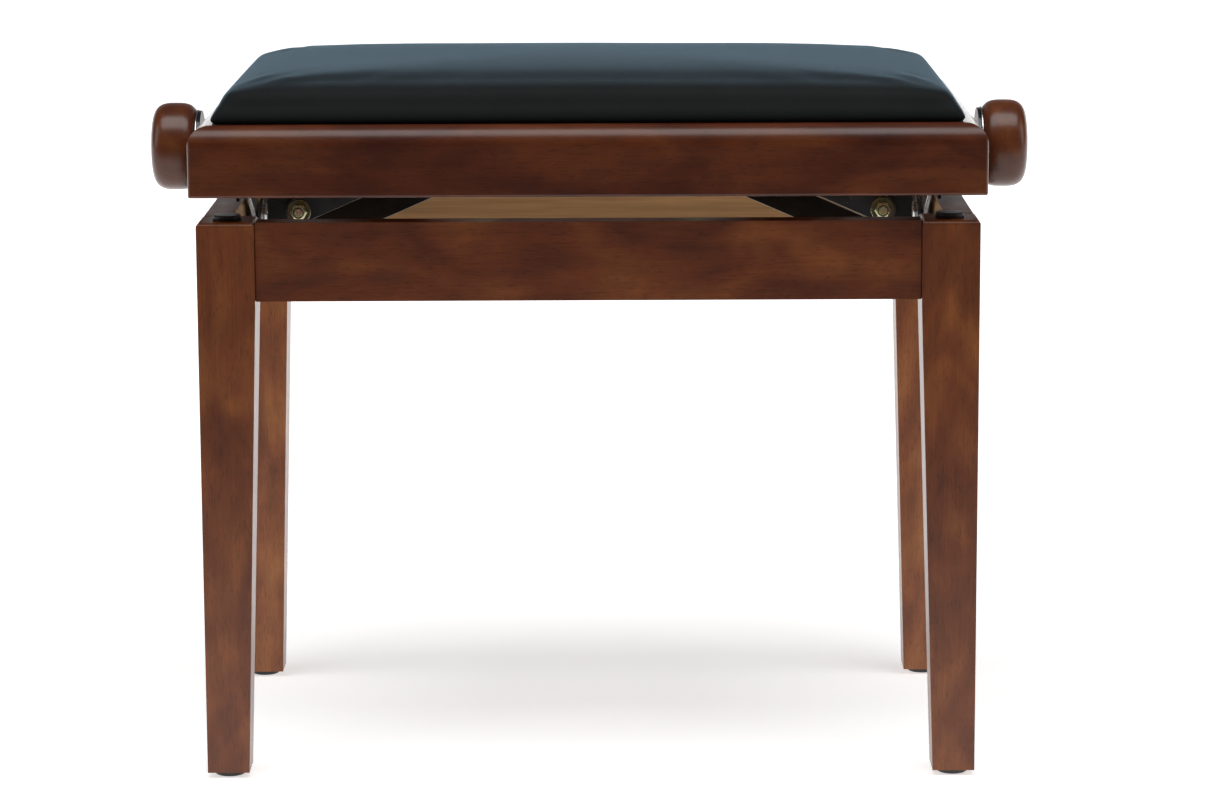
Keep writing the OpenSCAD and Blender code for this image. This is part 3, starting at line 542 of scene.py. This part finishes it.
def inflate(piece, foot_z):
    """Cloth under pressure: the cover swells over its foam, held where it is stapled down."""
    remesh = piece.modifiers.new("remesh", "REMESH")
    remesh.mode = "VOXEL"
    remesh.voxel_size = VOXEL
    apply_modifiers(piece)
    rest = [v.co.copy() for v in piece.data.vertices]
    held = piece.vertex_groups.new(name="held")
    for v in piece.data.vertices:
        held.add([v.index], grip(v.co.z, foot_z), "REPLACE")
    cloth = piece.modifiers.new("cloth", "CLOTH")
    cloth.settings.quality = 5
    cloth.settings.mass = 0.3
    cloth.settings.tension_stiffness = STIFFNESS
    cloth.settings.compression_stiffness = STIFFNESS
    cloth.settings.bending_stiffness = 2.5
    cloth.settings.use_pressure = True
    cloth.settings.uniform_pressure_force = PRESSURE
    cloth.settings.vertex_group_mass = "held"
    cloth.settings.effector_weights.gravity = 0
    cloth.collision_settings.use_collision = False
    scene = bpy.context.scene
    for number in range(1, FRAMES + 1):
        scene.frame_set(number)
    apply_modifiers(piece)
    for v, start in zip(piece.data.vertices, rest):
        move = v.co - start
        if move.length > SWELL_CAP:
            v.co = start + move.normalized() * SWELL_CAP
    scene.frame_set(1)


def grip(z, foot_z):
    """1 at the foot of the cover, falling to 0 above it."""
    return max(0.0, min(1.0, 1 - (z - foot_z - FOOT) / FOOT))


def settle(piece, form, foot_z, top_z, half_x):
    """Smooths the cover, brings its foot back to the form it is stretched on, and adds its sag and waves."""
    loose = piece.vertex_groups.new(name="loose")
    for v in piece.data.vertices:
        loose.add([v.index], 1 - grip(v.co.z, foot_z), "REPLACE")
    smooth = piece.modifiers.new("smooth", "SMOOTH")
    smooth.factor = 0.5
    smooth.iterations = 8
    smooth.vertex_group = "loose"
    apply_modifiers(piece)
    free_z = foot_z + 2 * FOOT
    for v in piece.data.vertices:
        hold = grip(v.co.z, foot_z)
        if hold > 0:
            v.co = v.co.lerp(form.find_nearest(v.co)[0], hold)
        else:
            wave = noise.noise(v.co * WAVES)
            share = min(1, (v.co.z - free_z) / (top_z - free_z))
            v.co.z += share * (UNEVENNESS * wave - SAG * (max(0, v.co.x) / half_x) ** 2)


def make_foam():
    """The CAD foam, drawn a little smaller."""
    paint(["foam_pad"], foam("foam"))
    shrink = nodes["foam_pad"].modifiers.new("shrink", "DISPLACE")
    shrink.strength = -FOAM_SHRINK
    shrink.mid_level = 0


def make_cushion():
    """The upholstered cover, which stands in for the CAD one."""
    low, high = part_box("cushion_cover")
    cushion = crowned_pad("cushion", high.x + SQUEEZE, high.y + SQUEEZE, low.z, high.z + OVERFILL)
    form = BVHTree.FromPolygons([v.co.copy() for v in cushion.data.vertices],
                                [tuple(p.vertices) for p in cushion.data.polygons])
    inflate(cushion, low.z)
    settle(cushion, form, low.z, high.z, high.x)
    subdivision = cushion.modifiers.new("subdivision", "SUBSURF")
    subdivision.levels = 1
    subdivision.render_levels = 1
    for polygon in cushion.data.polygons:
        polygon.use_smooth = True
    cushion.data.materials.clear()
    cushion.data.materials.append(velour("velour"))
    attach(cushion, "seat")
    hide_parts("cushion_cover")


# ---- Stage, light and camera ----

STAGE_HALF_WIDTH = 9.0
STAGE_FRONT = -9.0
WALL_Y = 8.0
WALL_HEIGHT = 6.0
BEND = 2.0                  # radius of the curve between floor and wall
BEND_STEPS = 16
STAGE_GLOW = 0.62
FAR_GLOW = 0.47             # added where the lights no longer reach
FAR_FADE = (0.5, 2.0)       # and the places along Y it comes in between
STAGE_FADE = (-1.3, -0.5)   # the floor brightens between these places along Y
WALL_FADE = (2.2, 1.2)      # and the wall brightens downwards between these heights


def make_stage():
    """White sweep: a floor that curves up into a wall behind the bench, and is dark well in front of it."""
    bm = bmesh.new()
    section = [(STAGE_FRONT, 0), (WALL_Y - BEND, 0)]
    for i in range(1, BEND_STEPS + 1):
        a = math.pi / 2 * i / BEND_STEPS
        section.append((WALL_Y - BEND + BEND * math.sin(a), BEND - BEND * math.cos(a)))
    section.append((WALL_Y, WALL_HEIGHT))
    gloss_under_painted_shade = (-STAGE_HALF_WIDTH, STAGE_HALF_WIDTH)
    rows = [[bm.verts.new((x, y, z)) for x in gloss_under_painted_shade] for y, z in section]
    for a, b in zip(rows, rows[1:]):
        bm.faces.new((a[0], a[1], b[1], b[0]))
    mesh = bpy.data.meshes.new("stage_sweep")
    bm.to_mesh(mesh)
    bm.free()
    for polygon in mesh.polygons:
        polygon.use_smooth = True
    sweep = bpy.data.objects.new("stage_sweep", mesh)
    bpy.context.scene.collection.objects.link(sweep)
    s = Shader("stage_white")
    lit = s.math("MULTIPLY", s.fade(Y, *STAGE_FADE), s.fade(Z, *WALL_FADE))
    glow = s.math("ADD", STAGE_GLOW, s.math("MULTIPLY", s.fade(Y, *FAR_FADE), FAR_GLOW))
    s.set(Base_Color=s.ramp(lit, [(0.0, 0.30), (1.0, 0.86)]), Roughness=0.9, Specular_IOR_Level=0.1,
          Emission_Color=s.ramp(lit, [(0.0, 0.06), (1.0, 1.0)]), Emission_Strength=glow)
    mesh.materials.append(s.material)


def area_light(name, place, target, size, power):
    """A rectangular lamp that points at its target."""
    data = bpy.data.lights.new(name, "AREA")
    data.shape = "RECTANGLE"
    data.size, data.size_y = size
    data.energy = power
    lamp = bpy.data.objects.new(name, data)
    lamp.location = place
    lamp.rotation_euler = (Vector(target) - Vector(place)).to_track_quat("-Z", "Y").to_euler()
    bpy.context.scene.collection.objects.link(lamp)


def make_light():
    """A dim white room, a wide lamp overhead and a weaker one at each side."""
    world = bpy.data.worlds.new("studio")
    world.use_nodes = True
    background = world.node_tree.nodes["Background"]
    background.inputs["Color"].default_value = (1, 1, 1, 1)
    background.inputs["Strength"].default_value = 0.06
    bpy.context.scene.world = world
    area_light("top", place=(0, -0.72, 2.6), target=(0, -0.25, 0.4), size=(3.2, 1.5), power=55)
    for name, side in (("left", -1), ("right", 1)):
        area_light(name, place=(side * 2.6, -0.5, 1.3), target=(0, 0, 0.3), size=(1.4, 1.8), power=12)


CAMERA_PLACE = (0.0214, -2.948, 0.7716)
CAMERA_PITCH = 0.1791       # downward, radians
CAMERA_YAW = -0.0032        # towards -X
CAMERA_ROLL = -0.0045
CAMERA_LENS = 120.93        # mm
CAMERA_SENSOR = 36          # mm wide


def make_camera():
    """Looks along +Y before its yaw, pitch and roll."""
    data = bpy.data.cameras.new("camera")
    data.lens = CAMERA_LENS
    data.sensor_width = CAMERA_SENSOR
    data.sensor_fit = "HORIZONTAL"
    camera = bpy.data.objects.new("camera", data)
    forward = Vector((math.sin(CAMERA_YAW) * math.cos(CAMERA_PITCH),
                      math.cos(CAMERA_YAW) * math.cos(CAMERA_PITCH), -math.sin(CAMERA_PITCH)))
    right = Vector((math.cos(CAMERA_YAW), -math.sin(CAMERA_YAW), 0))
    up = right.cross(forward)
    turned_right = math.cos(CAMERA_ROLL) * right + math.sin(CAMERA_ROLL) * up
    turned_up = math.cos(CAMERA_ROLL) * up - math.sin(CAMERA_ROLL) * right
    camera.matrix_world = Matrix((
        (turned_right.x, turned_up.x, -forward.x, CAMERA_PLACE[0]),
        (turned_right.y, turned_up.y, -forward.y, CAMERA_PLACE[1]),
        (turned_right.z, turned_up.z, -forward.z, CAMERA_PLACE[2]),
        (0, 0, 0, 1),
    ))
    bpy.context.scene.collection.objects.link(camera)
    bpy.context.scene.camera = camera


make_camera()
make_stage()
make_light()
paint_wood()
paint_hardware()
make_foam()
make_cushion()
bpy.context.scene.view_settings.view_transform = "Standard"
